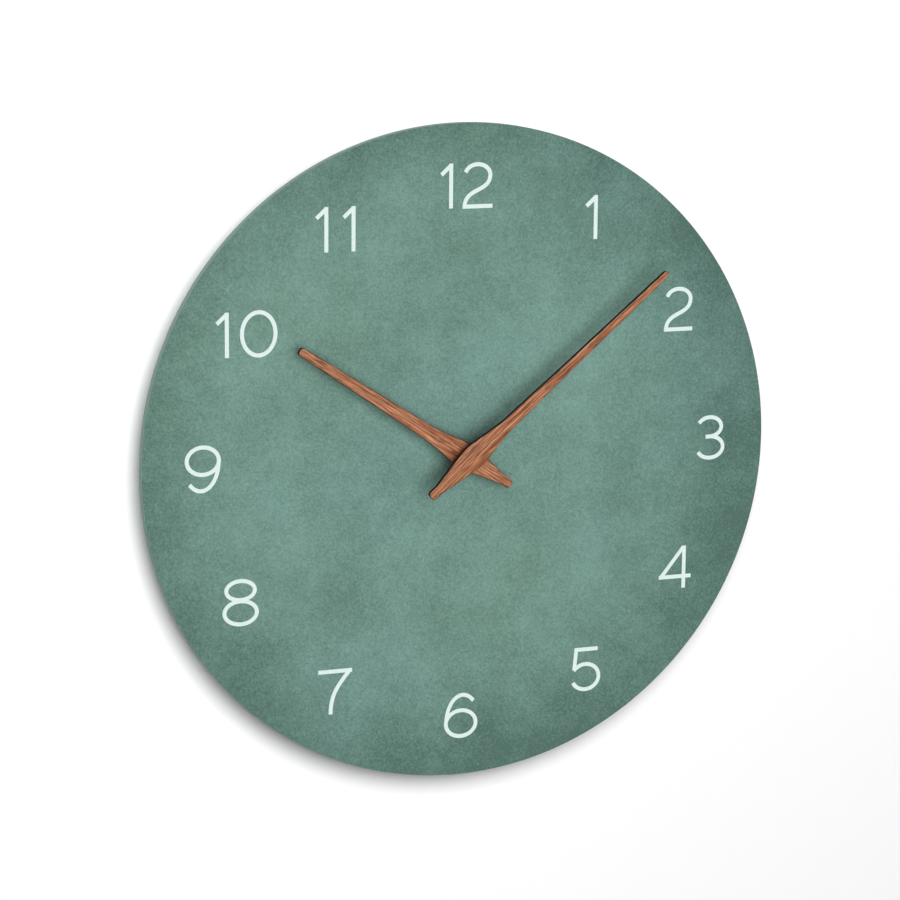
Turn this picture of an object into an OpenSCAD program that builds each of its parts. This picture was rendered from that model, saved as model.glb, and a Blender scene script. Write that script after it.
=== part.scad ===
// Wall clock: a round painted dial, wooden hands and a battery quartz movement.
// The origin is where the hanging nail meets the wall. +Z is up, the dial
// faces -Y, and the wall is the plane Y = 0.
//
// Pieces are drawn in a plane seen from the front, with x to the right and
// y up from the hand shaft, and are extruded forward from a depth off the wall.

/* [Dial] */
// Diameter of the dial disc
dial_d = 300; // [240:5:400]
// Thickness of the dial disc
dial_t = 4; // [3:0.5:9]
// Height of the numerals
numeral_h = 20; // [14:1:24]
// Stroke width of the numerals
numeral_w = 1.85; // [1.2:0.05:2.4]
// Distance from the tops of the numerals to the rim of the dial
rim_margin = 18; // [12:1:26]
// Thickness of the numerals' film
film_t = 0.25; // [0.1:0.05:0.5]

/* [Hands] */
// Thickness of both hands
hand_t = 2; // [1.2:0.2:3]
// Distance from the minute hand's tip to the rim
minute_rim_gap = 25.4; // [15:0.1:50]
// Distance from the hour hand's tip to the rim
hour_rim_gap = 54.5; // [40:0.1:75]
// Length of both hands' tails behind the shaft
hand_tail = 25.2; // [18:0.1:35]
// Widest part of the minute hand, at its hub
minute_hub_w = 11.4; // [10:0.1:16]
// Widest part of the hour hand, at its hub
hour_hub_w = 12; // [10:0.1:16]
// Angle of the minute hand, clockwise from twelve
minute_angle = 49.7; // [0:0.1:360]
// Angle of the hour hand, clockwise from twelve
hour_angle = 303.6; // [0:0.1:360]
// Air between the two hands
hand_gap = 2.5; // [1.5:0.1:5]

/* [Movement case] */
// Thickness of the case's walls
case_wall = 1.2; // [0.8:0.1:1.8]
// Thickness of the back cover
cover_t = 1.2; // [0.9:0.1:1.6]
// Distance from the shaft down to the battery bay's dividing wall
gear_floor = 11; // [10.5:0.5:16]
// Distance from the shaft up to the inside of the case's top wall
gear_roof = 26.8; // [26.8:0.2:34]
// Distance from the case's top wall up to the hanging hole
hanger_rise = 7; // [6:0.5:12]
// Diameter of the hanging hole
hanger_d = 7; // [5:0.5:9]
// Thickness of the hanging tab
hanger_t = 2.4; // [1.6:0.2:4]

/* [Battery] */
// Diameter of the battery
battery_d = 14.5; // [13.5:0.1:17.5]
// Length of the battery with its contact nub
battery_l = 50.5; // [50.5:0.1:62]
// Clearance all round the battery
battery_fit = 0.2; // [0.1:0.05:0.5]

/* [Fixings] */
// Outer diameter of the threaded bush
bush_d = 8; // [7.5:0.1:9]
// Outer diameter of the ring nut and of its washer
nut_d = 10.6; // [10.2:0.1:14]
// Thickness of the ring nut
nut_t = 1.9; // [1.4:0.1:3]
// Thickness of the flat washer
washer_t = 0.5; // [0.3:0.1:1]
// Thickness of the rubber washer
rubber_t = 1; // [0.5:0.25:2]
// Diameter of the rubber washer
rubber_d = 30; // [18:1:44]

/* [Gears] */
// Thickness of the thicker wheels
wheel_t = 0.8; // [0.6:0.1:1]
// Air between two neighbouring wheels
level_gap = 1; // [0.8:0.1:1.4]
// Radial clearance of every shaft in its hole
shaft_fit = 0.05; // [0.02:0.01:0.1]
// Clearance between gear teeth, measured along the pitch circle
backlash = 0.03; // [0.02:0.01:0.08]

/* [Hidden] */
$fn = 64;
eps = 1;  // how far a cut runs past a face

// Gear train: tooth counts and modules
rotor_teeth = 8;
inter_teeth = 60;
inter_pinion_teeth = 15;
seconds_teeth = 60;
seconds_pinion_teeth = 10;
third_teeth = 80;
third_pinion_teeth = 10;
centre_teeth = 75;
cannon_teeth = 16;
motion_teeth = 48;
motion_pinion_teeth = 12;
hour_teeth = 48;
setting_teeth = 16;
rotor_m = 0.2;
inter_m = 0.25;
third_m = 0.2;
motion_m = 0.25;
third_reach = third_m * (seconds_pinion_teeth + third_teeth) / 2;
centre_m = 2 * third_reach / (third_pinion_teeth + centre_teeth);
motion_reach = motion_m * (cannon_teeth + motion_teeth) / 2;
hour_m = 2 * motion_reach / (motion_pinion_teeth + hour_teeth);
addendum = 0.8;      // tooth height above the pitch circle, in modules
dedendum = 1.15;     // tooth depth below it, in modules
tip_share = 0.4;     // tooth width at the tip, as a share of that at the pitch circle
root_share = 1.3;    // tooth width at the root, as a share of the same

// Shaft places in the plane, from the hand shaft
function polar(r, a) = [r * cos(a), r * sin(a)];
inter_dir = 10;
rotor_dir = 40;
third_dir = 90;
motion_dir = 200;
setting_dir = 130;
hands_at = [0, 0];
inter_at = polar(inter_m * (inter_pinion_teeth + seconds_teeth) / 2, inter_dir);
rotor_at = inter_at + polar(rotor_m * (rotor_teeth + inter_teeth) / 2, rotor_dir);
third_at = polar(third_reach, third_dir);
motion_at = polar(motion_reach, motion_dir);
setting_at = motion_at + polar(motion_m * (motion_teeth + setting_teeth) / 2, setting_dir);

// Shaft and tube radii
pivot_r = 0.5;
rotor_pivot_r = 0.4;
setting_r = 0.75;
motion_post_r = 0.75;
clutch_r = 1;
cannon_tail_r = 1.3;
cannon_r = 1.6;
hour_pipe_r = 2.5;
magnet_r = 2.5;
magnet_hub_r = 0.9;
bush_flange_r = bush_d / 2 + 1.5;
bush_flange_t = 1;

// Depths off the wall, from back to front
inter_z = cover_t + 0.6;
inter_t = 0.6;
seconds_z = inter_z + inter_t + 0.6;
third_z = seconds_z + wheel_t + level_gap;
centre_z = third_z + wheel_t + level_gap;
clutch_t = 0.9;
plate_t = 1.2;
plate_z = centre_z + wheel_t + clutch_t + 0.3;
plate_front = plate_z + plate_t;
motion_z = plate_front + 0.8;
hour_z = motion_z + wheel_t + 0.8;
battery_back = 0.5;
battery_front_gap = 0.3;
case_in = max(hour_z + wheel_t + 2.3, battery_back + battery_d + battery_front_gap);
case_front = case_in + case_wall;
dial_back = case_front + rubber_t;
dial_face = dial_back + dial_t;
bush_front = dial_face + washer_t + nut_t + 0.2;
hub_flange_t = 0.8;
hub_air = 0.4;
sleeve_t = 0.7;
hour_rear = bush_front + hub_air + sleeve_t + hub_flange_t;
minute_rear = hour_rear + hand_t + hand_gap;
pivot_back = 0.7;
pivot_hole_back = 0.5;

// Case and battery bay, in the plane
contact_t = 0.4;
spring_room = 2.2;
divider_t = 1;
bay_h = battery_d + 2 * battery_fit;
inside_w = battery_l + 2 * contact_t + spring_room + 0.1;
case_w = inside_w + 2 * case_wall;
bay_top = -gear_floor - divider_t;
bay_floor = bay_top - bay_h;
battery_y = bay_top - bay_h / 2;
case_bottom = bay_floor - case_wall;
case_top = gear_roof + case_wall;
case_corner = 2;
cover_fit = 0.1;
tab_l = 5;
tab_t = 0.7;
tab_rows = [2, gear_roof - 8];
hang_drop = case_top + hanger_rise;
slot_w = 3.2;
slot_rise = hanger_d / 2 + 2;
hanger_w = hanger_d + 9;
knob_r = 4.3;
knob_t = 2;
knob_back = 0.4;
well_r = knob_r + 0.3;
well_wall = 0.6;
well_floor_z = knob_back + knob_t + 0.4;
well_floor_t = 1;

// Plate, stator, coil and board, in the plane
post_r = 1.6;
pin_r = 0.8;
plate_x = 20;
plate_bottom = -9.5;
plate_top = 16.5;
posts = [[-17.5, -7.5], [17.5, -7.5], [17.5, 14], [-17.5, 14]];
stator_t = 1;
stator_z = plate_z - stator_t;
stator_hole_r = magnet_r + 0.5;
leg_w = 2.5;
left_leg_x = 7.5;
right_leg_x = 22.5;
core_y = 21.5;
core_w = 2.4;
core_t = 0.8;
core_z = stator_z - core_t;
bobbin_wall = 0.6;
bobbin_gap = 0.4;
bobbin_flange_r = 3.7;
winding_r = 3.3;
coil_from = left_leg_x + leg_w + bobbin_gap;
coil_to = right_leg_x - bobbin_gap;
board_t = 0.8;
board_z = plate_z;
board_x = [-inside_w / 2 + contact_t, 4];
board_y = [17.4, 26.2];
support_r = 1.2;

// Battery and its contacts
contact_y = [bay_floor + 2.4, bay_top - 2.4];
contact_z = [3, 13];
strip_w = 2;
battery_x = inside_w / 2 - contact_t - 0.1;
nub_r = 2.75;
nub_l = 1.3;
sleeve_wall = 0.15;
can_l = battery_l - nub_l;

// Numerals: box of each figure from 0 to 9 at a height of 20, and the room on its sides
figure_w = [17.25, 6.2, 14.3, 14.25, 16.4, 15.1, 16.5, 16.1, 16.9, 16.5];
figure_h = [21, 20, 20.6, 21.1, 20.25, 21.1, 21.4, 20.9, 21.6, 21.4];
figure_room = [1.8, 3.2, 1.4, 1.4, 1.4, 1.4, 1.4, 1.4, 1.4, 1.4];
drawn_h = 20;
// Step of each hour, from one to twelve, that makes it look centred
hour_steps = [
    [0.1, 0.2], [0, 0.9], [1.7, 0.6], [1.1, 0.7], [1.1, 0.1], [0, 0],
    [0.1, 0.6], [0.4, 0.9], [-0.2, 1.4], [3.7, -0.8], [-0.1, -0.9], [0.4, 0.1]
];

// ---- Helpers ----

// Draws its children in the plane, a depth off the wall
module at(depth) {
    translate([0, -depth, -hang_drop]) rotate([90, 0, 0]) children();
}

module disc(r, t, place = [0, 0], z = 0) {
    translate([place[0], place[1], z]) cylinder(r = r, h = t);
}

function unit(v) = v / norm(v);
function turn_between(a, b) = atan2(a[0] * b[1] - a[1] * b[0], a * b);

// One corner b of an outline, between a and c, rounded by radius r
function corner(a, b, c, r, n = 6) =
    r == 0 ? [b] :
    let (
        u = unit(a - b),
        v = unit(c - b),
        half = acos(u * v) / 2,
        centre = b + unit(u + v) * r / sin(half),
        from = b + u * r / tan(half) - centre,
        sweep = turn_between(from, b + v * r / tan(half) - centre),
        start = atan2(from[1], from[0])
    ) [for (i = [0:n]) centre + polar(r, start + sweep * i / n)];

// An outline given as [x, y, corner radius], with its corners rounded
function rounded(pts) =
    let (n = len(pts), p = [for (q = pts) [q[0], q[1]]])
    [for (i = [0:n - 1]) each corner(p[(i + n - 1) % n], p[i], p[(i + 1) % n], pts[i][2])];

module rounded_rect(low, high, r) {
    polygon(rounded([
        [low[0], low[1], r], [high[0], low[1], r], [high[0], high[1], r], [low[0], high[1], r]
    ]));
}

module slab(low, high, z, t) {
    translate([low[0], low[1], z]) cube([high[0] - low[0], high[1] - low[1], t]);
}

// Angle of a wheel whose teeth mesh with those of wheel a, which lies the other way
function meshed(turn_a, teeth_a, teeth_b, dir) =
    dir + 180 - 360 / teeth_b * (0.5 - (dir - turn_a) * teeth_a / 360);

module gear_outline(teeth, m, turn = 0) {
    r = teeth * m / 2;
    half = 90 / teeth - backlash / 2 / r * 180 / PI;
    steps = [[-root_share, -dedendum], [-tip_share, addendum], [tip_share, addendum], [root_share, -dedendum]];
    polygon([
        for (i = [0:teeth - 1], s = steps)
        polar(r + s[1] * m, turn + i * 360 / teeth + s[0] * half)
    ]);
}

module gear(teeth, m, t, turn = 0, bore = 0, windows = 0, window_r = 0, window_at = 0) {
    linear_extrude(t) difference() {
        gear_outline(teeth, m, turn);
        if (bore > 0) circle(r = bore);
        for (i = [0:1:windows - 1])
            translate(polar(window_at, i * 360 / windows + 15)) circle(r = window_r);
    }
}

// Points on part of an ellipse
function bow(centre, r, from, to, n = 16) =
    [for (i = [0:n]) let (a = from + (to - from) * i / n) centre + [r[0] * cos(a), r[1] * sin(a)]];

function bezier(p, n = 14) = [
    for (i = [0:n]) let (t = i / n, s = 1 - t)
    s * s * s * p[0] + 3 * s * s * t * p[1] + 3 * s * t * t * p[2] + t * t * t * p[3]
];

function across(v) = [-v[1], v[0]];
function step_dir(path, i) =
    unit(path[min(i + 1, len(path) - 1)] - path[max(i - 1, 0)]);

// A stroke of even width along a smooth path
module stroke(path, w) {
    last = len(path) - 1;
    polygon(concat(
        [for (i = [0:last]) path[i] + across(step_dir(path, i)) * w / 2],
        [for (i = [last:-1:0]) path[i] - across(step_dir(path, i)) * w / 2]
    ));
}

module oval(centre, r, n = 36) {
    polygon(bow(centre, r, 0, 360 * (n - 1) / n, n - 1));
}

module oval_arc(centre, r, w, from, to) {
    polygon(concat(bow(centre, r, from, to), bow(centre, r - [w, w], to, from)));
}

// An oval ring, whose children are joined to it but don't reach into its hole
module oval_ring(centre, r, w) {
    difference() {
        union() {
            oval(centre, r);
            children();
        }
        oval(centre, r - [w, w]);
    }
}

// ---- Numerals ----

// One figure at a height of 20, from its lower left corner
module figure(d, w) {
    h = w / 2;
    if (d == 0) oval_ring([8.62, 10.5], [8.62, 10.5], w);
    if (d == 1) {
        stroke([[6.2 - h, 0], [6.2 - h, 20]], w);
        stroke([[0.7, 15.1], [5.3, 19.3]], w);
    }
    if (d == 2) {
        stroke(concat(
            bow([7.15, 14.9], [6, 5.7 - h], 165, 5, 12),
            bezier([[13.15, 14.9], [13.15, 6.8], [h, 9.6], [h, 0.8]])
        ), w);
        stroke([[0, h], [14.3, h]], w);
    }
    if (d == 3) {
        stroke(concat(bow([6.4, 15.6], [6.9 - h, 5.5 - h], 155, -90, 20), [[4.4, 10.1 + h]]), w);
        stroke(concat([[6, 10.1 + h]], bow([6.7, 5.98], [7.55 - h, 5.98 - h], 90, -155, 20)), w);
    }
    if (d == 4) {
        stroke([[12.7, 0], [12.7, 20.25]], w);
        stroke([[0, 5.7], [16.4, 5.7]], w);
        stroke([[0.85, 5.4], [12.35, 19.7]], w);
    }
    if (d == 5) {
        stroke([[1.9, 21.1 - h], [13.5, 21.1 - h]], w);
        stroke([[2.75, 20.8], [1.75, 10.4]], w);
        stroke(bow([7.4, 7], [7.7 - h, 7 - h], 148, -155, 24), w);
    }
    if (d == 6) {
        oval_ring([8.25, 7.05], [8.25, 7.05], w)
            oval_arc([9.1, 7.6], [8.95, 13.8], w, 49, 180);
    }
    if (d == 7) {
        stroke([[0, 20.9 - h], [16.1, 20.9 - h]], w);
        stroke(bezier([[15.3, 20.4], [9.8, 13.8], [5.8, 9.8], [5.8, 0]]), w);
    }
    if (d == 8) {
        oval_ring([8.45, 16.35], [7.55, 5.25], w);
        oval_ring([8.45, 6.2], [8.45, 6.2], w);
    }
    if (d == 9) translate([16.5, 21.4]) rotate(180) figure(6, w);
}

module hour_numeral(hour, w) {
    tens = floor(hour / 10);
    units = hour % 10;
    gap = figure_room[1] + figure_room[units];
    width = tens > 0 ? figure_w[1] + gap + figure_w[units] : figure_w[units];
    if (tens > 0) translate([-width / 2, -figure_h[1] / 2]) figure(1, w);
    translate([width / 2 - figure_w[units], -figure_h[units] / 2]) figure(units, w);
}

module numerals() {
    size = numeral_h / drawn_h;
    ring_r = dial_d / 2 - rim_margin - numeral_h / 2;
    color("#e2f2f0") at(dial_face) linear_extrude(film_t)
        for (hour = [1:12])
            translate(polar(ring_r, 90 - 30 * hour) + hour_steps[hour - 1] * size)
                scale(size) hour_numeral(hour, numeral_w / size);
}

// ---- Dial and its fixings ----

module dial_disc() {
    color("#6c9283") at(dial_back) difference() {
        disc(dial_d / 2, dial_t);
        disc(bush_d / 2 + 0.2, dial_t + 2 * eps, z = -eps);
    }
}

module rubber_washer() {
    color("#2b2b2b") at(case_front) difference() {
        disc(rubber_d / 2, rubber_t);
        disc(bush_d / 2 + 0.2, rubber_t + 2 * eps, z = -eps);
    }
}

module flat_washer() {
    color("#c9a95c") at(dial_face) difference() {
        disc(nut_d / 2, washer_t);
        disc(bush_d / 2 + 0.1, washer_t + 2 * eps, z = -eps);
    }
}

module ring_nut() {
    slot = 1.2;
    slot_depth = 1;
    color("#c9a95c") at(dial_face + washer_t) difference() {
        disc(nut_d / 2, nut_t);
        disc(bush_d / 2, nut_t + 2 * eps, z = -eps);
        slab([-nut_d, -slot / 2], [nut_d, slot / 2], nut_t - slot_depth, slot_depth + eps);
    }
}

module threaded_bush() {
    color("#c9a95c") at(0) difference() {
        union() {
            disc(bush_flange_r, bush_flange_t, z = case_in - bush_flange_t);
            disc(bush_d / 2, bush_front - case_in, z = case_in);
        }
        disc(hour_pipe_r + shaft_fit, bush_front + eps);
    }
}

// ---- Hands ----

// A hand that points along +x: a tapered tail, a wide rounded hub and a slim blade.
// Each half-width is given where the outline changes direction.
module hand_outline(tip, hub_w, shoulder_w, neck_w, mid_w, tip_w) {
    tail_w = 4.2;
    half = [
        [-hand_tail, tail_w / 2, 1.4],
        [-hand_tail + 5.7, tail_w / 2 + 0.15, 3],
        [-2.6, hub_w / 2 - 0.45, 3],
        [3, hub_w / 2, 4],
        [14.4, shoulder_w / 2, 16],
        [22, neck_w / 2, 26],
        [tip * 0.48, mid_w / 2, 60],
        [tip, tip_w / 2, tip_w * 0.44]
    ];
    n = len(half);
    polygon(rounded(concat(
        [for (i = [0:n - 1]) [half[i][0], -half[i][1], half[i][2]]],
        [for (i = [n - 1:-1:0]) half[i]]
    )));
}

module hour_hand() {
    color("#a9684a") at(hour_rear) difference() {
        linear_extrude(hand_t) rotate(90 - hour_angle)
            hand_outline(dial_d / 2 - hour_rim_gap, hour_hub_w, 8.3, 6.9, 5.7, 3.8);
        disc(cannon_r + 0.2, hand_t + 2 * eps, z = -eps);
    }
}

module minute_hand() {
    color("#a9684a") at(minute_rear) linear_extrude(hand_t) rotate(90 - minute_angle)
        hand_outline(dial_d / 2 - minute_rim_gap, minute_hub_w, 7.9, 5.9, 4.3, 2.8);
}

// A stepped brass collet glued behind a hand, whose bore grips the tube
module collet(flange_r, sleeve_r, bore_r, sleeve_l) {
    difference() {
        union() {
            disc(sleeve_r, sleeve_l + eps / 2);
            disc(flange_r, hub_flange_t, z = sleeve_l);
        }
        disc(bore_r, sleeve_l + hub_flange_t + 2 * eps, z = -eps);
    }
}

module hour_hand_hub() {
    color("#c9a95c") at(hour_rear - hub_flange_t - sleeve_t)
        collet(4.5, 3.3, hour_pipe_r, sleeve_t);
}

module minute_hand_hub() {
    sleeve_l = hand_gap - hub_air - hub_flange_t;
    color("#c9a95c") at(minute_rear - hub_flange_t - sleeve_l)
        collet(4, 2.5, cannon_r, sleeve_l);
}

// ---- Movement case ----

module case_outline() {
    rounded_rect([-case_w / 2, case_bottom], [case_w / 2, case_top], case_corner);
}

module hanger_tab() {
    x = hanger_w / 2;
    low = case_top - case_wall / 2;
    high = hang_drop + slot_rise + 2.6;
    linear_extrude(hanger_t)
        polygon(rounded([[-x, low, 0], [x, low, 0], [x, high, 3], [-x, high, 3]]));
}

module front_case() {
    inside_x = inside_w / 2;
    divider_x = inside_x - 2 * contact_t;
    color("#1f1f21") at(0) difference() {
        union() {
            difference() {
                linear_extrude(case_front) case_outline();
                slab([-inside_x, bay_floor], [inside_x, gear_roof], -eps, case_in + eps);
            }
            slab([-divider_x, bay_top], [divider_x, bay_top + divider_t], 0, case_in + eps / 2);
            hanger_tab();
            for (p = posts) {
                disc(post_r, case_in - plate_front + eps / 2, p, plate_front);
                disc(pin_r, case_in - plate_z, p, plate_z);
            }
            for (x = [left_leg_x, right_leg_x])
                disc(support_r, case_in - plate_z + eps / 2, [x + leg_w / 2, core_y], plate_z);
            for (x = [board_x[0] + 3.4, board_x[1] - 3])
                disc(support_r, case_in - board_z - board_t + eps / 2, [x, core_y], board_z + board_t);
            disc(motion_post_r + 0.85, case_in - hour_z - wheel_t, motion_at, hour_z + wheel_t + 0.4);
            disc(motion_post_r, case_in - plate_front, motion_at, plate_front + 0.2);
            disc(setting_r + 1.25, case_in - hour_z + 0.4, setting_at, hour_z - 0.2);
        }
        disc(bush_d / 2, case_wall + 2 * eps, z = case_in - eps);
        disc(setting_r + shaft_fit, 2.5 + eps, setting_at, hour_z - 0.2 - eps);
        // keyhole for the hanging nail
        disc(hanger_d / 2, hanger_t + 2 * eps, [0, hang_drop], -eps);
        slab([-slot_w / 2, hang_drop], [slot_w / 2, hang_drop + slot_rise - slot_w / 2], -eps, hanger_t + 2 * eps);
        disc(slot_w / 2, hanger_t + 2 * eps, [0, hang_drop + slot_rise - slot_w / 2], -eps);
        // finger notch under the battery
        translate([0, case_bottom - eps, 0]) rotate([-90, 0, 0]) cylinder(r = 7, h = case_wall + eps);
        // slots that the cover's tabs snap into
        for (side = [-1, 1], y = tab_rows)
            slab(
                [min(side * inside_x, side * (case_w / 2 + eps)), y - tab_l / 2 - cover_fit],
                [max(side * inside_x, side * (case_w / 2 + eps)), y + tab_l / 2 + cover_fit],
                0.1, tab_t + 0.2
            );
    }
}

module back_cover() {
    low = [-inside_w / 2 + cover_fit, -gear_floor + cover_fit];
    high = [inside_w / 2 - cover_fit, gear_roof - cover_fit];
    tab_reach = cover_fit + case_wall * 0.7;
    color("#26262a") at(0) difference() {
        union() {
            slab(low, high, 0, cover_t);
            for (p = [hands_at, inter_at, rotor_at, third_at])
                disc(1.6, cover_t + 0.3, p, 0);
            disc(well_r + well_wall, well_floor_z + well_floor_t, setting_at, 0);
            for (side = [-1, 1], y = tab_rows)
                slab(
                    [min(side * high[0], side * (high[0] + tab_reach)), y - tab_l / 2],
                    [max(side * high[0], side * (high[0] + tab_reach)), y + tab_l / 2],
                    0.2, tab_t
                );
        }
        disc(well_r, well_floor_z + eps, setting_at, -eps);
        disc(setting_r + shaft_fit, well_floor_z + well_floor_t + 2 * eps, setting_at, -eps);
        for (p = [hands_at, inter_at, third_at])
            disc(pivot_r + shaft_fit, cover_t + eps, p, pivot_hole_back);
        disc(rotor_pivot_r + shaft_fit, cover_t + eps, rotor_at, pivot_hole_back);
    }
}

module mid_plate() {
    color("#e8e6df") at(plate_z) difference() {
        linear_extrude(plate_t) rounded_rect([-plate_x, plate_bottom], [plate_x, plate_top], 2.5);
        for (p = posts) disc(pin_r, plate_t + 2 * eps, p, -eps);
        disc(cannon_tail_r + shaft_fit, plate_t + 2 * eps, hands_at, -eps);
        for (p = [inter_at, third_at]) disc(pivot_r + shaft_fit, plate_t + 2 * eps, p, -eps);
        disc(rotor_pivot_r + shaft_fit, plate_t + 2 * eps, rotor_at, -eps);
        disc(setting_r + shaft_fit, plate_t + 2 * eps, setting_at, -eps);
    }
}

// ---- Going train, from the motor to the centre wheel ----

module rotor_magnet() {
    magnet_t = 2.5;
    color("#4b4d52") at(plate_z - 0.3 - magnet_t) translate(rotor_at) difference() {
        disc(magnet_r, magnet_t);
        disc(magnet_hub_r, magnet_t + 2 * eps, z = -eps);
    }
}

module rotor_pinion() {
    color("#f2efe6") at(0) translate(rotor_at) {
        disc(rotor_pivot_r, plate_front - 0.2 - pivot_back, z = pivot_back);
        translate([0, 0, inter_z - 0.2]) gear(rotor_teeth, rotor_m, inter_t + 0.5);
        disc(magnet_hub_r, plate_z - 0.3 - (inter_z + inter_t + 0.3), z = inter_z + inter_t + 0.3);
    }
}

module intermediate_wheel() {
    turn = meshed(0, rotor_teeth, inter_teeth, rotor_dir + 180);
    color("#e9e4d4") at(0) translate(inter_at) {
        disc(pivot_r, plate_front - 0.2 - pivot_back, z = pivot_back);
        translate([0, 0, inter_z])
            gear(inter_teeth, rotor_m, inter_t, turn, windows = 4, window_r = 1.3, window_at = 3.9);
        translate([0, 0, inter_z + inter_t])
            gear(inter_pinion_teeth, inter_m, seconds_z + wheel_t + 0.2 - inter_z - inter_t);
    }
}

module seconds_wheel() {
    turn = meshed(0, inter_pinion_teeth, seconds_teeth, inter_dir + 180);
    color("#f2efe6") at(seconds_z) {
        gear(seconds_teeth, inter_m, wheel_t, turn, pivot_r, 4, 1.6, 4.8);
        translate([0, 0, wheel_t])
            gear(seconds_pinion_teeth, third_m, level_gap + wheel_t + 0.2, bore = pivot_r);
    }
}

module seconds_arbor() {
    color("#b9bcc0") at(pivot_back) disc(pivot_r, minute_rear - 0.5 - pivot_back);
}

module third_wheel() {
    turn = meshed(0, seconds_pinion_teeth, third_teeth, third_dir);
    color("#e9e4d4") at(0) translate(third_at) {
        disc(pivot_r, plate_front - 0.2 - pivot_back, z = pivot_back);
        translate([0, 0, third_z])
            gear(third_teeth, third_m, wheel_t, turn, windows = 5, window_r = 1.7, window_at = 4.8);
        translate([0, 0, third_z + wheel_t])
            gear(third_pinion_teeth, centre_m, level_gap + wheel_t + 0.2);
    }
}

module centre_wheel() {
    turn = meshed(0, third_pinion_teeth, centre_teeth, third_dir + 180);
    color("#f2efe6") at(centre_z)
        gear(centre_teeth, centre_m, wheel_t, turn, clutch_r + shaft_fit);
}

// ---- Motion works, which turn the hands ----

module clutch_spring() {
    leaf_t = 0.25;
    arm_l = 3.6;
    arm_w = 1.2;
    slope = 7;
    color("#c9a95c") at(centre_z + wheel_t + clutch_t - leaf_t) {
        difference() {
            disc(2.2, leaf_t);
            disc(clutch_r, leaf_t + 2 * eps, z = -eps);
        }
        for (i = [0:2]) rotate(i * 120) translate([1.9, -arm_w / 2, 0]) rotate([0, slope, 0])
            cube([arm_l, arm_w, leaf_t]);
    }
}

module cannon_pinion() {
    shoulder = centre_z + wheel_t + clutch_t;
    pinion_z = motion_z - 0.4;
    pinion_t = wheel_t + 0.8;
    color("#f2efe6") at(0) difference() {
        union() {
            disc(clutch_r, shoulder - centre_z + 0.2, z = centre_z - 0.2);
            disc(cannon_tail_r, pinion_z - shoulder, z = shoulder);
            translate([0, 0, pinion_z]) gear(cannon_teeth, motion_m, pinion_t);
            disc(cannon_r, minute_rear - 0.1 - pinion_z, z = pinion_z);
        }
        disc(pivot_r + shaft_fit, minute_rear + eps);
    }
}

function motion_turn() = meshed(0, cannon_teeth, motion_teeth, motion_dir);

module motion_wheel() {
    color("#e9e4d4") at(0) translate(motion_at) difference() {
        union() {
            disc(1.3, 0.5, z = motion_z - 0.4);
            translate([0, 0, motion_z])
                gear(motion_teeth, motion_m, wheel_t, motion_turn(), 0, 4, 1.2, 3.9);
            translate([0, 0, motion_z + wheel_t])
                gear(motion_pinion_teeth, hour_m, hour_z + wheel_t + 0.2 - motion_z - wheel_t);
        }
        disc(motion_post_r + shaft_fit, case_in);
    }
}

module hour_wheel() {
    turn = meshed(0, motion_pinion_teeth, hour_teeth, motion_dir - 180);
    shoulder_r = hour_pipe_r + 0.9;
    color("#f2efe6") at(0) difference() {
        union() {
            translate([0, 0, hour_z]) gear(hour_teeth, hour_m, wheel_t, turn);
            disc(shoulder_r, wheel_t + 1, z = hour_z);
            disc(hour_pipe_r, hour_rear - 0.1 - hour_z, z = hour_z);
        }
        disc(cannon_r + shaft_fit, hour_rear + eps);
    }
}

module setting_pinion() {
    turn = meshed(motion_turn(), motion_teeth, setting_teeth, setting_dir);
    pinion_z = motion_z - 0.4;
    color("#e9e4d4") at(0) translate(setting_at) {
        disc(setting_r, hour_z + 1.8 - knob_back - 0.6, z = knob_back + 0.6);
        translate([0, 0, pinion_z]) gear(setting_teeth, motion_m, hour_z - 0.4 - pinion_z, turn);
    }
}

module setting_knob() {
    flutes = 20;
    flute_r = 0.4;
    color("#e9e4d4") at(knob_back) translate(setting_at) difference() {
        disc(knob_r, knob_t);
        for (i = [1:flutes])
            disc(flute_r, knob_t + 2 * eps, polar(knob_r + 0.1, i * 360 / flutes), -eps);
        disc(setting_r, knob_t, z = 0.6);
    }
}

// ---- Motor and electronics ----

module stator() {
    yoke_low = rotor_at[1] - 2;
    yoke_high = rotor_at[1] + 3.5;
    leg_top = core_y + core_w / 2 + 0.8;
    color("#a9adb2") at(stator_z) linear_extrude(stator_t) difference() {
        union() {
            translate([left_leg_x, yoke_low])
                square([right_leg_x + leg_w - left_leg_x, yoke_high - yoke_low]);
            translate(rotor_at) circle(r = stator_hole_r + 1.7);
            for (x = [left_leg_x, right_leg_x])
                translate([x, yoke_low]) square([leg_w, leg_top - yoke_low]);
        }
        translate(rotor_at) circle(r = stator_hole_r);
    }
}

module coil_core() {
    color("#a9adb2") at(core_z) slab(
        [left_leg_x, core_y - core_w / 2],
        [right_leg_x + leg_w, core_y + core_w / 2],
        0, core_t
    );
}

// Draws its children along the coil's axis, which runs along +x
module along_coil(x) {
    translate([x, core_y, core_z + core_t / 2]) rotate([0, 90, 0]) children();
}

// The bobbin's tube, with its short side along the depth
module coil_tube(l, grow) {
    translate([-core_t / 2 - grow, -core_w / 2 - grow, 0])
        cube([core_t + 2 * grow, core_w + 2 * grow, l]);
}

module coil_bobbin() {
    l = coil_to - coil_from;
    color("#d9d4c4") at(0) difference() {
        union() {
            for (x = [coil_from, coil_to - bobbin_wall])
                along_coil(x) cylinder(r = bobbin_flange_r, h = bobbin_wall);
            along_coil(coil_from) coil_tube(l, bobbin_wall);
        }
        along_coil(coil_from - eps) coil_tube(l + 2 * eps, 0);
    }
}

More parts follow.
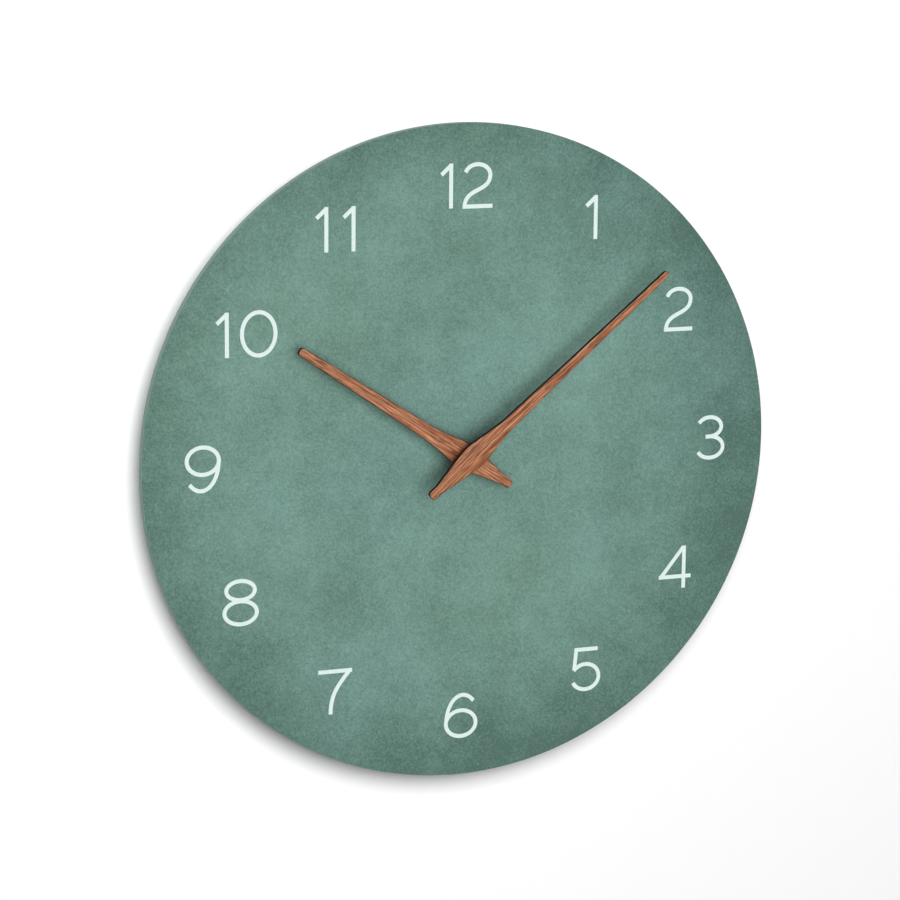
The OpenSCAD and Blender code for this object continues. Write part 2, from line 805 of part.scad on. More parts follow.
module coil_winding() {
    l = coil_to - coil_from - 2 * bobbin_wall;
    color("#b0552a") at(0) difference() {
        along_coil(coil_from + bobbin_wall) cylinder(r = winding_r, h = l);
        along_coil(coil_from) coil_tube(l + 2 * eps, bobbin_wall);
    }
}

module circuit_board() {
    color("#2f6b45") at(board_z)
        slab([board_x[0], board_y[0]], [board_x[1], board_y[1]], 0, board_t);
}

module chip_blob() {
    blob_r = 3;
    blob_h = 1.2;
    color("#111113") at(board_z) translate([-14, core_y, 0])
        rotate([180, 0, 0]) rotate_extrude() polygon(concat([[0, 0]], bow([0, 0], [blob_r, blob_h], 0, 90, 8)));
}

module quartz_crystal() {
    crystal_r = 1;
    color("#c2c5c9") at(board_z - crystal_r) translate([-6, 24, 0]) rotate([0, 90, 0])
        cylinder(r = crystal_r, h = 6);
}

module contact_negative() {
    x = -inside_w / 2;
    tip_x = x + contact_t + spring_room - 0.1;
    low = contact_y[0] + 1;
    high = contact_y[1] - 1;
    strip_z = board_z - 0.6;
    color("#b9bcc0") at(0) {
        slab([x, contact_y[0]], [x + contact_t, contact_y[1]], contact_z[0], contact_z[1] - contact_z[0]);
        slab([x, contact_y[1] - eps], [x + contact_t, board_y[1] - 2], strip_z, strip_w);
        // bowed leaf that presses on the battery
        translate([0, 0, 5]) linear_extrude(6) polygon([
            [x + contact_t / 2, low - 0.3],
            [tip_x, battery_y - 1],
            [tip_x, battery_y + 1],
            [x + contact_t + 0.6, high],
            [x + contact_t + 0.3, high],
            [tip_x - 0.3, battery_y + 0.9],
            [tip_x - 0.3, battery_y - 0.9],
            [x + contact_t / 2, low + 0.3]
        ]);
    }
}

module contact_positive() {
    x = inside_w / 2 - contact_t;
    strip_z = board_z + board_t;
    tab_x = board_x[1] - 2;
    color("#b9bcc0") at(0) {
        slab([x, contact_y[0]], [x + contact_t, contact_y[1]], contact_z[0], contact_z[1] - contact_z[0]);
        slab([x, contact_y[1] - eps], [x + contact_t, gear_roof], strip_z, strip_w);
        slab([tab_x, gear_roof - contact_t], [x + contact_t / 2, gear_roof], strip_z, strip_w);
        slab([tab_x, board_y[1] - 1], [board_x[1], gear_roof], strip_z, contact_t);
    }
}

// Draws its children along the battery, which points along -x from its nub
module along_battery() {
    translate([battery_x, battery_y, battery_back + battery_d / 2]) rotate([0, -90, 0]) children();
}

module battery_cell() {
    can_r = battery_d / 2 - sleeve_wall;
    color("#c2c5c9") at(0) along_battery() {
        cylinder(r = nub_r, h = nub_l + eps / 2);
        translate([0, 0, nub_l]) cylinder(r = can_r, h = can_l);
    }
}

module battery_sleeve() {
    lip = 0.4;
    color("#c46a2c") at(0) along_battery() translate([0, 0, nub_l + lip]) difference() {
        cylinder(r = battery_d / 2, h = can_l - 2 * lip);
        translate([0, 0, -eps]) cylinder(r = battery_d / 2 - sleeve_wall, h = can_l + 2 * eps);
    }
}

front_case();
back_cover();
mid_plate();
threaded_bush();
rotor_magnet();
rotor_pinion();
intermediate_wheel();
seconds_wheel();
seconds_arbor();
third_wheel();
centre_wheel();
clutch_spring();
cannon_pinion();
motion_wheel();
hour_wheel();
setting_pinion();
setting_knob();
stator();
coil_core();
coil_bobbin();
coil_winding();
circuit_board();
chip_blob();
quartz_crystal();
contact_negative();
contact_positive();
battery_cell();
battery_sleeve();
rubber_washer();
dial_disc();
numerals();
flat_washer();
ring_nut();
hour_hand();
hour_hand_hub();
minute_hand();
minute_hand_hub();
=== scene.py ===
import math

import bpy
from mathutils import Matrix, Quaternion, Vector


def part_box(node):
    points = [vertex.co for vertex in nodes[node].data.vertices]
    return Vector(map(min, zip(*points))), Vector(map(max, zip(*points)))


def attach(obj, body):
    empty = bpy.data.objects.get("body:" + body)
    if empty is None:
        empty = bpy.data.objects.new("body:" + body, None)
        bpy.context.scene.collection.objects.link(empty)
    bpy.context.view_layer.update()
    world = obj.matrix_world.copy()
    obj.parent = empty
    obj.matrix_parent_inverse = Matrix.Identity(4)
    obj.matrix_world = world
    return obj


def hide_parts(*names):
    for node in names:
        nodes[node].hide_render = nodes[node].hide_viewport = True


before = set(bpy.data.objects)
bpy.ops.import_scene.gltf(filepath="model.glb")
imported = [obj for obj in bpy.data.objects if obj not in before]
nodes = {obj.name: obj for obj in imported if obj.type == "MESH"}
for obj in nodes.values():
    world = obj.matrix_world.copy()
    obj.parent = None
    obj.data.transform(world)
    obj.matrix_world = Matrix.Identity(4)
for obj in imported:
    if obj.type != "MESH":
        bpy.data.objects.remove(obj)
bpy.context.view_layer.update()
scene = bpy.context.scene
bpy.ops.object.select_all(action="DESELECT")


# ---- Viewpoint ----
# The clock is seen from its left and a little from above, through a long
# lens, so that the board's thin left side shows and its round face is an oval.
MM = 0.001
board_low, board_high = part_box("dial_disc")
shaft_x, shaft_z = (board_low.x + board_high.x) / 2, (board_low.z + board_high.z) / 2
face_y = board_low.y
view_azimuth, view_elevation, view_roll = (math.radians(a) for a in (-20.964, 11.194, 0.473))
toward_eye = Vector((
    math.sin(view_azimuth) * math.cos(view_elevation),
    -math.cos(view_azimuth) * math.cos(view_elevation),
    math.sin(view_elevation),
))
aim = Vector((shaft_x - 6.315 * MM, face_y, shaft_z + 2.724 * MM))
eye_distance = 1393.1 * MM
bpy.ops.object.camera_add(location=aim + eye_distance * toward_eye)
camera = bpy.context.object
camera.rotation_mode = "QUATERNION"
camera.rotation_quaternion = toward_eye.to_track_quat("Z", "Y") @ Quaternion((0, 0, 1), view_roll)
camera.data.sensor_width = 36
camera.data.lens = 123.54
scene.camera = camera


# ---- Room ----
# A white painted wall that the clock hangs on and a pale floor well below it.
# The light is a studio's: soft boxes and a white room. Each box is kept to what
# it is meant for, so that the wall and the clock can have different shadows.


def linear(hex_colour):
    """An sRGB hex value as a linear colour."""
    parts = [int(hex_colour[i:i + 2], 16) / 255 for i in (0, 2, 4)]
    return [c / 12.92 if c <= 0.04045 else ((c + 0.055) / 1.055) ** 2.4 for c in parts] + [1]


def add(material, kind, sockets=None, **settings):
    """Adds one shader node, with its settings, and its sockets set or linked."""
    new = material.node_tree.nodes.new("ShaderNode" + kind)
    for name, value in settings.items():
        setattr(new, name, value)
    for name, value in (sockets or {}).items():
        if isinstance(value, bpy.types.NodeSocket):
            material.node_tree.links.new(value, new.inputs[name])
        else:
            new.inputs[name].default_value = value
    return new


def material_of(name, **finish):
    """A new material with one Principled shader, and its even values set on the shader."""
    material = bpy.data.materials.new(name)
    material.use_nodes = True
    material.node_tree.nodes.clear()
    shader = add(material, "BsdfPrincipled", {k.replace("_", " "): v for k, v in finish.items()})
    add(material, "OutputMaterial", {"Surface": shader.outputs["BSDF"]})
    return material, shader


def link(material, source, shader, socket):
    material.node_tree.links.new(source, shader.inputs[socket])


# Wall paint: matt white emulsion. So that the clock's back can be looked at, it
# lets the eye through from behind, and the light that comes straight from the
# room behind to the clock.
wall_paint = bpy.data.materials.new("matt_wall_emulsion")
wall_paint.use_nodes = True
wall_paint.node_tree.nodes.clear()
wall_coat = add(wall_paint, "BsdfDiffuse", {"Color": linear("f6f6f6")})
wall_clear = add(wall_paint, "BsdfTransparent")
wall_face = add(wall_paint, "NewGeometry")
wall_ray = add(wall_paint, "LightPath")
wall_front = add(wall_paint, "Math", {
    0: 1.0, 1: wall_face.outputs["Backfacing"],
}, operation="SUBTRACT")
wall_later = add(wall_paint, "Math", {
    0: wall_ray.outputs["Ray Depth"], 1: 1.5,
}, operation="GREATER_THAN")
wall_any = add(wall_paint, "Math", {
    0: wall_later.outputs[0], 1: wall_ray.outputs["Is Camera Ray"],
}, operation="MAXIMUM")
wall_seen = add(wall_paint, "Math", {
    0: wall_front.outputs[0], 1: wall_any.outputs[0],
}, operation="MULTIPLY")
wall_mix = add(wall_paint, "MixShader", {
    "Fac": wall_seen.outputs[0], 1: wall_clear.outputs["BSDF"], 2: wall_coat.outputs["BSDF"],
})
add(wall_paint, "OutputMaterial", {"Surface": wall_mix.outputs["Shader"]})

wall_gap = 0.6 * MM
wall_mid_z = 0.4
floor_z = -1.3
bpy.ops.mesh.primitive_plane_add(size=1, location=(0, wall_gap, wall_mid_z), rotation=(math.pi / 2, 0, 0))
wall = bpy.context.object
wall.name = "wall"
wall.scale = (6, 3.4, 1)
wall.data.materials.append(wall_paint)
floor_paint, floor_shader = material_of("pale_floor_screed", Roughness=0.8)
floor_noise = add(floor_paint, "TexNoise", {
    "Vector": add(floor_paint, "TexCoord").outputs["Object"], "Scale": 3.0, "Detail": 4.0,
})
floor_tone = add(floor_paint, "Mix", {
    "Factor": floor_noise.outputs["Fac"], "A": linear("d9d8d5"), "B": linear("e4e3e0"),
}, data_type="RGBA")
link(floor_paint, floor_tone.outputs["Result"], floor_shader, "Base Color")
bpy.ops.mesh.primitive_plane_add(size=6, location=(0, 0, floor_z))
floor = bpy.context.object
floor.name = "floor"
floor.data.materials.append(floor_paint)

# The room looks white to the eye. What it gives off as light is faint before the
# clock and strong behind it, so that the sides and the back can be seen.
glow_before, glow_behind, glow_turn = 0.04, 1.1, 0.25
room = bpy.data.worlds.new("white_room")
scene.world = room
room.use_nodes = True
room.node_tree.nodes.clear()
room_way = add(room, "SeparateXYZ", {"Vector": add(room, "TexCoord").outputs["Generated"]})
room_glow = add(room, "MapRange", {
    "Value": room_way.outputs["Y"], "From Min": -glow_turn, "From Max": glow_turn,
    "To Min": glow_before, "To Max": glow_behind,
})
room_seen = add(room, "Math", {
    0: room_glow.outputs["Result"], 1: add(room, "LightPath").outputs["Is Camera Ray"],
}, operation="MAXIMUM")
room_sky = add(room, "Background", {"Strength": room_seen.outputs[0]})
add(room, "OutputWorld", {"Surface": room_sky.outputs["Background"]})


def soft_box(name, place, size, watts, only=(), never=()):
    """A round soft box aimed at the clock. It may light only some things, or all but some."""
    bpy.ops.object.light_add(type="AREA", location=place)
    box = bpy.context.object
    box.name = name
    box.data.shape = "DISK"
    box.data.size = size
    box.data.energy = watts
    away = box.location - Vector((shaft_x, face_y, shaft_z))
    box.rotation_euler = away.to_track_quat("Z", "Y").to_euler()
    box.visible_camera = False
    lit = bpy.data.collections.new(name + "_lights")
    for thing in (*only, *never):
        lit.objects.link(thing)
    if never:
        for entry in lit.collection_objects:
            entry.light_linking.link_state = "EXCLUDE"
    box.light_linking.receiver_collection = lit


# One box before the clock, wide enough that the hands' shadows melt away.
soft_box("front_box", (0.15, -2.2, 0.1), 2.8, 55, never=(wall, floor))
# One box high on the left washes the wall, and throws the board's soft shadow.
soft_box("wall_box", (-0.4, -2.0, 0.74), 1.2, 60, only=(wall,))
scene.view_settings.view_transform = "Standard"


# ---- Movement case ----
# Two mouldings in black ABS: the case with its hanging tab and battery bay,
# and the back cover that snaps into it. Both are copies of their nodes, bevelled.
abs_plastic, abs_shader = material_of(
    "spark_textured_black_abs", Base_Color=linear("232325"), Roughness=0.5, IOR=1.54,
)
# Spark erosion leaves a fine even grain of about 0.25 mm on the moulding.
abs_place = add(abs_plastic, "TexCoord")
abs_grain = add(abs_plastic, "TexNoise", {"Vector": abs_place.outputs["Object"], "Scale": 4000.0, "Detail": 2.0})
abs_rough = add(abs_plastic, "MapRange", {"Value": abs_grain.outputs["Fac"], "To Min": 0.42, "To Max": 0.6})
abs_bump = add(abs_plastic, "Bump", {"Strength": 0.25, "Distance": 0.03 * MM, "Height": abs_grain.outputs["Fac"]})
link(abs_plastic, abs_rough.outputs["Result"], abs_shader, "Roughness")
link(abs_plastic, abs_bump.outputs["Normal"], abs_shader, "Normal")


def finish_with(material, slot, *names):
    """Gives CAD nodes their material. The slot argument is not used."""
    for name in names:
        node = nodes[name]
        node.data.materials.clear()
        node.data.materials.append(material)


def soften_edges(piece, width, segments, sharper_than, smooth_to):
    """Bevels the piece's edges that are sharper than an angle, and smooths the rest."""
    bevel = piece.modifiers.new("softened_edges", "BEVEL")
    bevel.width = width
    bevel.segments = segments
    bevel.limit_method = "ANGLE"
    bevel.angle_limit = math.radians(sharper_than)
    bpy.ops.object.modifier_apply(modifier=bevel.name)
    bpy.ops.object.shade_smooth_by_angle(angle=math.radians(smooth_to))


def merged_copy(node_name, piece_name):
    """A copy of a CAD node, with its loose triangles merged into whole faces."""
    piece = bpy.data.objects.new(piece_name, nodes[node_name].data.copy())
    scene.collection.objects.link(piece)
    bpy.ops.object.select_all(action="DESELECT")
    piece.select_set(True)
    bpy.context.view_layer.objects.active = piece
    bpy.ops.object.mode_set(mode="EDIT")
    bpy.ops.mesh.select_all(action="SELECT")
    bpy.ops.mesh.remove_doubles(threshold=0.005 * MM)
    bpy.ops.mesh.dissolve_limited(angle_limit=math.radians(0.5))
    bpy.ops.object.mode_set(mode="OBJECT")
    piece.data.materials.clear()
    return piece


def moulding(node_name, piece_name, body):
    """A moulding with the small edge radius that its mould leaves."""
    shell = merged_copy(node_name, piece_name)
    soften_edges(shell, width=0.25 * MM, segments=2, sharper_than=50, smooth_to=35)
    shell.data.materials.append(abs_plastic)
    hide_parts(node_name)
    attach(shell, body)


moulding("front_case", "moulded_case", "clock_body")
moulding("back_cover", "moulded_cover", "clock_body")


# ---- Going train and motion works ----
# Wheels, pinions, bearing plate and setting stem are moulded in acetal, white
# or ivory by turns so that an assembler can tell them apart.
white_acetal, white_shader = material_of("moulded_white_acetal", Roughness=0.38, IOR=1.48)
ivory_acetal, ivory_shader = material_of("moulded_ivory_acetal", Roughness=0.38, IOR=1.48)
# Flow in the mould leaves a faint cloudiness a few millimetres wide.
for acetal, shader, pale, deep in (
    (white_acetal, white_shader, "f6f3ec", "eae6da"), (ivory_acetal, ivory_shader, "ece6d3", "dcd4bd"),
):
    cloud = add(acetal, "TexNoise", {
        "Vector": add(acetal, "TexCoord").outputs["Object"], "Scale": 300.0, "Detail": 3.0,
    })
    tone = add(acetal, "Mix", {
        "Factor": cloud.outputs["Fac"], "A": linear(deep), "B": linear(pale),
    }, data_type="RGBA")
    link(acetal, tone.outputs["Result"], shader, "Base Color")
finish_with(
    white_acetal, "white_acetal",
    "mid_plate", "rotor_pinion", "seconds_wheel", "centre_wheel", "cannon_pinion", "hour_wheel",
)
finish_with(
    ivory_acetal, "ivory_acetal",
    "intermediate_wheel", "third_wheel", "motion_wheel", "setting_pinion", "setting_knob",
)

# The arbor is ground steel, with scratches round it about 0.1 mm apart.
ground_steel, steel_shader = material_of("ground_steel", Base_Color=linear("b9bcc0"), Metallic=1.0, Roughness=0.3)
# The contacts are stamped from nickel-plated spring strip, a softer grey.
nickel_strip, nickel_shader = material_of(
    "nickel_plated_strip", Base_Color=linear("b9bcc0"), Metallic=1.0, Roughness=0.28,
)
# The stator is stamped from electrical iron, dull and faintly stained.
stator_iron, iron_shader = material_of("stamped_iron", Base_Color=linear("a9adb2"), Metallic=1.0, Roughness=0.45)
for metal, shader, grain, low, high in (
    (ground_steel, steel_shader, 9000, 0.24, 0.38),
    (nickel_strip, nickel_shader, 1200, 0.2, 0.36),
    (stator_iron, iron_shader, 700, 0.38, 0.55),
):
    wear = add(metal, "TexNoise", {
        "Vector": add(metal, "TexCoord").outputs["Object"], "Scale": float(grain), "Detail": 3.0,
    })
    rough = add(metal, "MapRange", {"Value": wear.outputs["Fac"], "To Min": low, "To Max": high})
    link(metal, rough.outputs["Result"], shader, "Roughness")
finish_with(ground_steel, "steel", "seconds_arbor")
finish_with(nickel_strip, "spring_steel", "contact_negative", "contact_positive")
finish_with(stator_iron, "stator_iron", "stator", "coil_core")


# ---- Motor and board ----
# The ferrite rotor, the wound bobbin, and the laminate board with its blob of
# epoxy over the chip and the small can of the crystal.
ferrite, ferrite_shader = material_of("sintered_ferrite", Roughness=0.6, IOR=2.0)
nylon, nylon_shader = material_of("moulded_nylon", Roughness=0.45, IOR=1.53)
copper, copper_shader = material_of(
    "enamelled_copper_wire", Base_Color=linear("b0552a"), Metallic=1.0, Roughness=0.3,
)
laminate, laminate_shader = material_of("glass_epoxy_laminate", Roughness=0.35, IOR=1.55)
epoxy, epoxy_shader = material_of("poured_black_epoxy", Roughness=0.2, IOR=1.55)
crystal, crystal_shader = material_of("drawn_tin_plated_can", Metallic=1.0, Roughness=0.25)
for part, shader, scale, pale, deep in (
    (ferrite, ferrite_shader, 2500, "55575c", "414348"),
    (nylon, nylon_shader, 300, "ded9ca", "cfc9b6"),
    (laminate, laminate_shader, 1500, "35744c", "29603d"),
    (epoxy, epoxy_shader, 400, "17171a", "0c0c0e"),
    (crystal, crystal_shader, 600, "caccd0", "b6b9bd"),
):
    speckle = add(part, "TexNoise", {
        "Vector": add(part, "TexCoord").outputs["Object"], "Scale": float(scale), "Detail": 2.0,
    })
    tone = add(part, "Mix", {
        "Factor": speckle.outputs["Fac"], "A": linear(deep), "B": linear(pale),
    }, data_type="RGBA")
    link(part, tone.outputs["Result"], shader, "Base Color")
# The winding's turns lie side by side along the coil, drawn 0.15 mm apart.
turns = add(copper, "TexWave", {
    "Vector": add(copper, "TexCoord").outputs["Object"], "Scale": 1000 / 0.15 / 20, "Distortion": 0.4,
}, bands_direction="X")
turn_bump = add(copper, "Bump", {"Strength": 0.6, "Distance": 0.05 * MM, "Height": turns.outputs["Fac"]})
link(copper, turn_bump.outputs["Normal"], copper_shader, "Normal")
finish_with(ferrite, "magnet", "rotor_magnet")
finish_with(nylon, "bobbin_nylon", "coil_bobbin")
finish_with(copper, "copper_wire", "coil_winding")
finish_with(laminate, "board_laminate", "circuit_board")
finish_with(epoxy, "epoxy", "chip_blob")
finish_with(crystal, "crystal_can", "quartz_crystal")


# ---- Battery ----
# One AA cell: a nickel-plated steel can in a plain printed shrink sleeve.
can_steel, can_shader = material_of("nickel_plated_can", Base_Color=linear("c2c5c9"), Metallic=1.0, Roughness=0.22)
sleeve, sleeve_shader = material_of("printed_shrink_sleeve", Roughness=0.25, IOR=1.5)
sleeve_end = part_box("battery_sleeve")[1].x
can_wear = add(can_steel, "TexNoise", {
    "Vector": add(can_steel, "TexCoord").outputs["Object"], "Scale": 500.0, "Detail": 3.0,
})
can_rough = add(can_steel, "MapRange", {"Value": can_wear.outputs["Fac"], "To Min": 0.16, "To Max": 0.32})
link(can_steel, can_rough.outputs["Result"], can_shader, "Roughness")
# The sleeve is copper-coloured towards the cap and black for the rest.
sleeve_place = add(sleeve, "SeparateXYZ", {"Vector": add(sleeve, "TexCoord").outputs["Object"]})
cap_edge = add(sleeve, "Math", {
    0: sleeve_place.outputs["X"], 1: sleeve_end - 14 * MM,
}, operation="GREATER_THAN")
sleeve_tone = add(sleeve, "Mix", {
    "Factor": cap_edge.outputs[0], "A": linear("1b1c1f"), "B": linear("b86a34"),
}, data_type="RGBA")
link(sleeve, sleeve_tone.outputs["Result"], sleeve_shader, "Base Color")
finish_with(can_steel, "battery_can", "battery_cell")
finish_with(sleeve, "battery_film", "battery_sleeve")


# ---- Fixings ----
# The brass bush comes through the board from behind, with a rubber washer
# behind the board and a flat washer and a slotted ring nut before it.
brass, brass_shader = material_of("turned_brass", Base_Color=linear("c9a95c"), Metallic=1.0, Roughness=0.3)
# Turning leaves rings about 0.2 mm apart round the shaft.
brass_place = add(brass, "Mapping", {
    "Vector": add(brass, "TexCoord").outputs["Object"], "Location": (shaft_x, 0, shaft_z),
}, vector_type="TEXTURE")
brass_rings = add(brass, "TexWave", {
    "Vector": brass_place.outputs["Vector"], "Scale": 1000 / 0.2 / 20, "Distortion": 0.6, "Detail": 1.0,
}, wave_type="RINGS", rings_direction="Y")
brass_rough = add(brass, "MapRange", {"Value": brass_rings.outputs["Fac"], "To Min": 0.24, "To Max": 0.36})
link(brass, brass_rough.outputs["Result"], brass_shader, "Roughness")
rubber, rubber_shader = material_of("moulded_rubber", Base_Color=linear("2b2b2b"), Roughness=0.75, IOR=1.52)
rubber_grain = add(rubber, "TexNoise", {
    "Vector": add(rubber, "TexCoord").outputs["Object"], "Scale": 1800.0, "Detail": 3.0,
})
rubber_rough = add(rubber, "MapRange", {"Value": rubber_grain.outputs["Fac"], "To Min": 0.65, "To Max": 0.85})
link(rubber, rubber_rough.outputs["Result"], rubber_shader, "Roughness")
finish_with(
    brass, "brass",
    "threaded_bush", "flat_washer", "ring_nut", "clutch_spring", "hour_hand_hub", "minute_hand_hub",
)
finish_with(rubber, "rubber", "rubber_washer")


# ---- Board ----
# The clock's body is one round fibreboard, cut to 300 mm with its sharp edges
# just broken, and painted in a matt mottled grey-green, its colour made darker towards the rim.
board_r = (board_high.x - board_low.x) / 2
board_t = board_high.y - board_low.y
bpy.ops.mesh.primitive_cylinder_add(
    vertices=360, radius=board_r, depth=board_t, end_fill_type="NGON",
    location=(shaft_x, (board_low.y + board_high.y) / 2, shaft_z), rotation=(math.pi / 2, 0, 0),
)
board = bpy.context.object
board.name = "painted_board"
bpy.ops.object.transform_apply(location=True, rotation=True, scale=True)
hole_r = 4.2 * MM
first_inset = 2 * MM


def select_faces(piece, wanted):
    """Selects only the faces that a test accepts. It is used in object mode."""
    for vertex in piece.data.vertices:
        vertex.select = False
    for edge in piece.data.edges:
        edge.select = False
    for face in piece.data.polygons:
        face.select = wanted(face)


select_faces(board, lambda face: abs(face.normal.y) > 0.9)
scene.tool_settings.mesh_select_mode = (False, False, True)
bpy.ops.object.mode_set(mode="EDIT")
bpy.ops.mesh.inset(thickness=first_inset)
hole_share = hole_r / (board_r - first_inset)
bpy.ops.transform.resize(value=(hole_share, 1, hole_share), center_override=(shaft_x, face_y, shaft_z))
bpy.ops.mesh.bridge_edge_loops()
bpy.ops.object.mode_set(mode="OBJECT")
soften_edges(board, width=0.25 * MM, segments=3, sharper_than=50, smooth_to=35)

board_paint, paint_shader = material_of("matt_mottled_board_paint", Roughness=0.75, IOR=1.45)
paint_place = add(board_paint, "TexCoord")
# Clouds of some 45 mm down to flecks of 1 mm: the paint is dabbed on in thin coats.
clouds = add(board_paint, "TexNoise", {
    "Vector": paint_place.outputs["Object"], "Scale": 22.0, "Detail": 6.0, "Roughness": 0.74,
})
# The board's fibres show through as a fine even grain.
grain = add(board_paint, "TexNoise", {
    "Vector": paint_place.outputs["Object"], "Scale": 1100.0, "Detail": 1.0, "Roughness": 0.5,
})
# The colour is made darker over the last 50 mm to the rim, and most at the right.
paint_centred = add(board_paint, "Mapping", {
    "Vector": paint_place.outputs["Object"],
    "Location": (shaft_x - 10 * MM, face_y, shaft_z + 6 * MM),
}, vector_type="TEXTURE")
paint_r = add(board_paint, "VectorMath", {0: paint_centred.outputs["Vector"]}, operation="LENGTH")
rim_darkening = add(board_paint, "MapRange", {
    "Value": paint_r.outputs["Value"], "From Min": 95 * MM, "From Max": 168 * MM,
    "To Min": 0.0, "To Max": 0.42,
}, interpolation_type="SMOOTHSTEP")
mottle = add(board_paint, "MapRange", {
    "Value": clouds.outputs["Fac"], "From Min": 0.25, "From Max": 0.75, "To Min": 0.21, "To Max": 0.79,
})
fleck = add(board_paint, "MapRange", {"Value": grain.outputs["Fac"], "To Min": -0.4, "To Max": 0.4})
mottle_fleck = add(board_paint, "Math", {
    0: mottle.outputs["Result"], 1: fleck.outputs["Result"],
}, operation="ADD")
coat = add(board_paint, "Math", {
    0: mottle_fleck.outputs[0], 1: rim_darkening.outputs["Result"],
}, operation="SUBTRACT", use_clamp=True)
paint_tone = add(board_paint, "Mix", {
    "Factor": coat.outputs[0], "A": linear("4f7066"), "B": linear("8ab0a4"),
}, data_type="RGBA")
# Patches of some 100 mm lean to blue or to olive.
drift = add(board_paint, "TexNoise", {"Vector": paint_place.outputs["Object"], "Scale": 11.0, "Detail": 2.0})
drift_share = add(board_paint, "MapRange", {"Value": drift.outputs["Fac"], "From Min": 0.35, "From Max": 0.65})
drift_tone = add(board_paint, "Mix", {
    "Factor": drift_share.outputs["Result"], "A": linear("fdfffb"), "B": linear("f9fdff"),
}, data_type="RGBA")
paint_drifted = add(board_paint, "Mix", {
    "Factor": 1.0, "A": paint_tone.outputs["Result"], "B": drift_tone.outputs["Result"],
}, data_type="RGBA", blend_type="MULTIPLY")
# Pale fibres of about 0.6 mm lie in the coat here and there, and dark specks too.
fibre_place = add(board_paint, "Mapping", {
    "Vector": paint_place.outputs["Object"], "Scale": (0.7 * MM, 1 * MM, 1.6 * MM),
}, vector_type="TEXTURE")
fibres = add(board_paint, "TexNoise", {
    "Vector": fibre_place.outputs["Vector"], "Scale": 1.0, "Detail": 2.0, "Distortion": 2.0,
})
fibre_mask = add(board_paint, "MapRange", {
    "Value": fibres.outputs["Fac"], "From Min": 0.66, "From Max": 0.76, "To Min": 0.0, "To Max": 0.55,
})
speck_mask = add(board_paint, "MapRange", {
    "Value": fibres.outputs["Fac"], "From Min": 0.34, "From Max": 0.24, "To Min": 0.0, "To Max": 0.55,
})
fibred = add(board_paint, "Mix", {
    "Factor": fibre_mask.outputs["Result"], "A": paint_drifted.outputs["Result"], "B": linear("a9c6b8"),
}, data_type="RGBA")
specked = add(board_paint, "Mix", {
    "Factor": speck_mask.outputs["Result"], "A": fibred.outputs["Result"], "B": linear("3f5a50"),
}, data_type="RGBA")
link(board_paint, specked.outputs["Result"], paint_shader, "Base Color")
paint_bump = add(board_paint, "Bump", {"Strength": 0.35, "Distance": 0.05 * MM, "Height": grain.outputs["Fac"]})
link(board_paint, paint_bump.outputs["Normal"], paint_shader, "Normal")
board.data.materials.append(board_paint)
# The board's side takes a paler, duller copy of the paint. The paleness is painted
# light, standing in for the light that falls on the side.
side_paint_painted_light, side_shader = material_of("board_side_painted_light", Roughness=0.85, IOR=1.45)
side_grain = add(side_paint_painted_light, "TexNoise", {
    "Vector": add(side_paint_painted_light, "TexCoord").outputs["Object"], "Scale": 700.0, "Detail": 3.0,
})
side_painted_light_tone = add(side_paint_painted_light, "Mix", {
    "Factor": side_grain.outputs["Fac"], "A": linear("78948a"), "B": linear("98aea3"),
}, data_type="RGBA")
link(side_paint_painted_light, side_painted_light_tone.outputs["Result"], side_shader, "Base Color")
board.data.materials.append(side_paint_painted_light)
board_middle = Vector((shaft_x, face_y, shaft_z))
# The side faces away from the middle take the paler copy: painted light.
for face in board.data.polygons:
    if abs(face.normal.y) < 0.95 and (face.center - board_middle).length > board_r / 2:
        face.material_index = 1
# A small box high on the left catches the upper left of that side.
soft_box("side_box", (-1.5, -0.25, 1.3), 0.6, 9, only=(board,))
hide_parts("dial_disc")
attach(board, "clock_body")


# ---- Numerals ----
# Twelve hour figures are cut from thin satin white vinyl film and rubbed down
# onto the paint.
film, film_shader = material_of("satin_white_vinyl_film", Roughness=0.45, IOR=1.5)
film_wave = add(film, "TexNoise", {
    "Vector": add(film, "TexCoord").outputs["Object"], "Scale": 500.0, "Detail": 2.0,
})
film_tone = add(film, "Mix", {
    "Factor": film_wave.outputs["Fac"], "A": linear("dcf0ed"), "B": linear("ecfcf9"),
}, data_type="RGBA")
link(film, film_tone.outputs["Result"], film_shader, "Base Color")
finish_with(film, "numeral_film", "numerals")


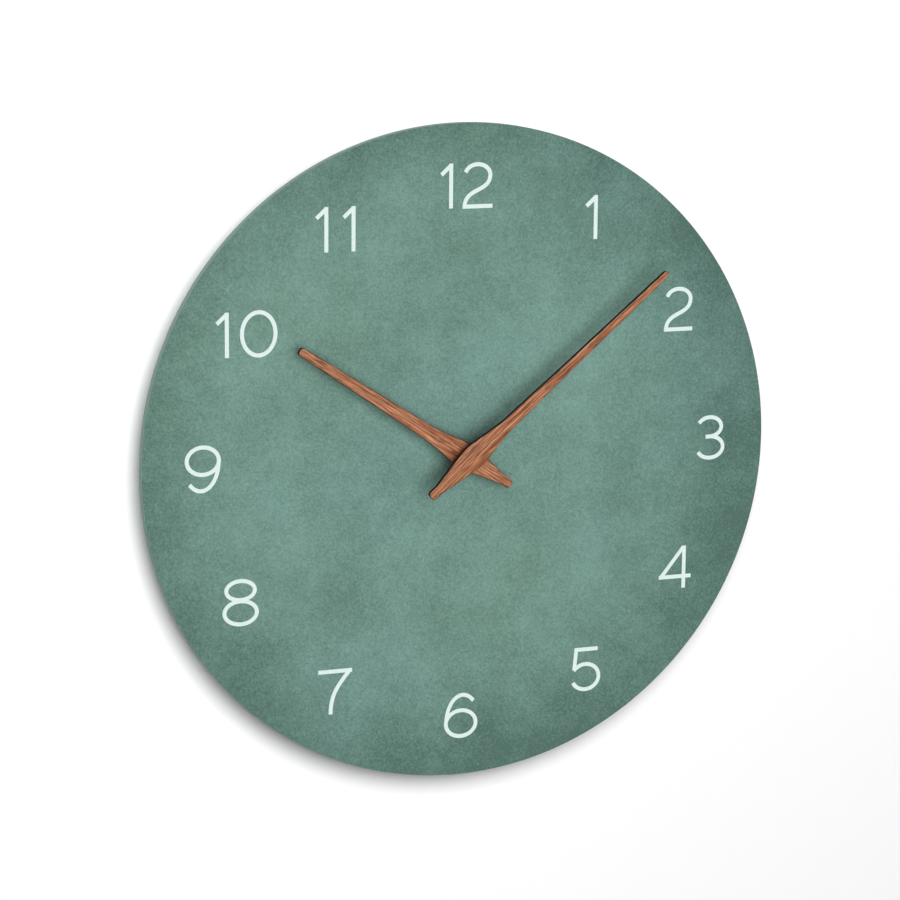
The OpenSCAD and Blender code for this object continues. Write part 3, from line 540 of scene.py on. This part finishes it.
# ---- Hands ----
# Both hands are laser-cut from 2 mm reddish-brown hardwood and oiled. The
# beam chars their side walls nearly black, and the grain runs along each hand.
def cut_hand(node_name, piece_name, body, angle):
    """A hand with softened arrises, wood on its faces and char on its sides.

    The grain runs at the hand's angle, in degrees from twelve o'clock.
    """
    blank = merged_copy(node_name, piece_name)
    soften_edges(blank, width=0.2 * MM, segments=2, sharper_than=60, smooth_to=30)

    wood, wood_shader = material_of(f"oiled_hardwood_{body}", Roughness=0.6, IOR=1.42)
    place = add(wood, "TexCoord")
    # Grain lines are about 0.5 mm apart and run for some 14 mm.
    along = add(wood, "Mapping", {
        "Vector": place.outputs["Object"], "Location": (shaft_x, face_y, shaft_z),
        "Rotation": (0, math.radians(angle), 0), "Scale": (0.5 * MM, 2 * MM, 14 * MM),
    }, vector_type="TEXTURE")
    lines = add(wood, "TexNoise", {
        "Vector": along.outputs["Vector"], "Scale": 1.0, "Detail": 3.0, "Roughness": 0.65, "Distortion": 0.3,
    })
    # Open pores are short dark dashes, 0.3 mm wide and 5 mm long.
    pore_place = add(wood, "Mapping", {
        "Vector": place.outputs["Object"], "Location": (shaft_x, face_y, shaft_z),
        "Rotation": (0, math.radians(angle), 0), "Scale": (0.32 * MM, 2 * MM, 5 * MM),
    }, vector_type="TEXTURE")
    pores = add(wood, "TexNoise", {"Vector": pore_place.outputs["Vector"], "Scale": 1.0, "Detail": 1.0})
    pore_mask = add(wood, "MapRange", {
        "Value": pores.outputs["Fac"], "From Min": 0.58, "From Max": 0.68, "To Min": 0.0, "To Max": 0.75,
    })
    ramp = add(wood, "ValToRGB", {"Fac": lines.outputs["Fac"]})
    ramp.color_ramp.elements[0].position = 0.34
    ramp.color_ramp.elements[0].color = linear("783517")
    ramp.color_ramp.elements[1].position = 0.66
    ramp.color_ramp.elements[1].color = linear("d99a70")
    middle = ramp.color_ramp.elements.new(0.5)
    middle.color = linear("ab6c46")
    grained = add(wood, "Mix", {
        "Factor": pore_mask.outputs["Result"], "A": ramp.outputs["Color"], "B": linear("45200f"),
    }, data_type="RGBA")
    link(wood, grained.outputs["Result"], wood_shader, "Base Color")
    wood_bump = add(wood, "Bump", {
        "Strength": 0.4, "Distance": 0.08 * MM, "Height": pores.outputs["Fac"],
    }, invert=True)
    link(wood, wood_bump.outputs["Normal"], wood_shader, "Normal")

    char, char_shader = material_of(f"laser_charred_edge_{body}", Roughness=0.7, IOR=1.5)
    char_noise = add(char, "TexNoise", {
        "Vector": add(char, "TexCoord").outputs["Object"], "Scale": 900.0, "Detail": 3.0,
    })
    char_tone = add(char, "Mix", {
        "Factor": char_noise.outputs["Fac"], "A": linear("060403"), "B": linear("170e09"),
    }, data_type="RGBA")
    link(char, char_tone.outputs["Result"], char_shader, "Base Color")
    blank.data.materials.append(wood)
    blank.data.materials.append(char)
    for face in blank.data.polygons:
        face.material_index = 0 if abs(face.normal.y) > 0.97 else 1
    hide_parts(node_name)
    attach(blank, body)


cut_hand("hour_hand", "hour_hand_wood", "hour", angle=303.6)
cut_hand("minute_hand", "minute_hand_wood", "minute", angle=49.7)
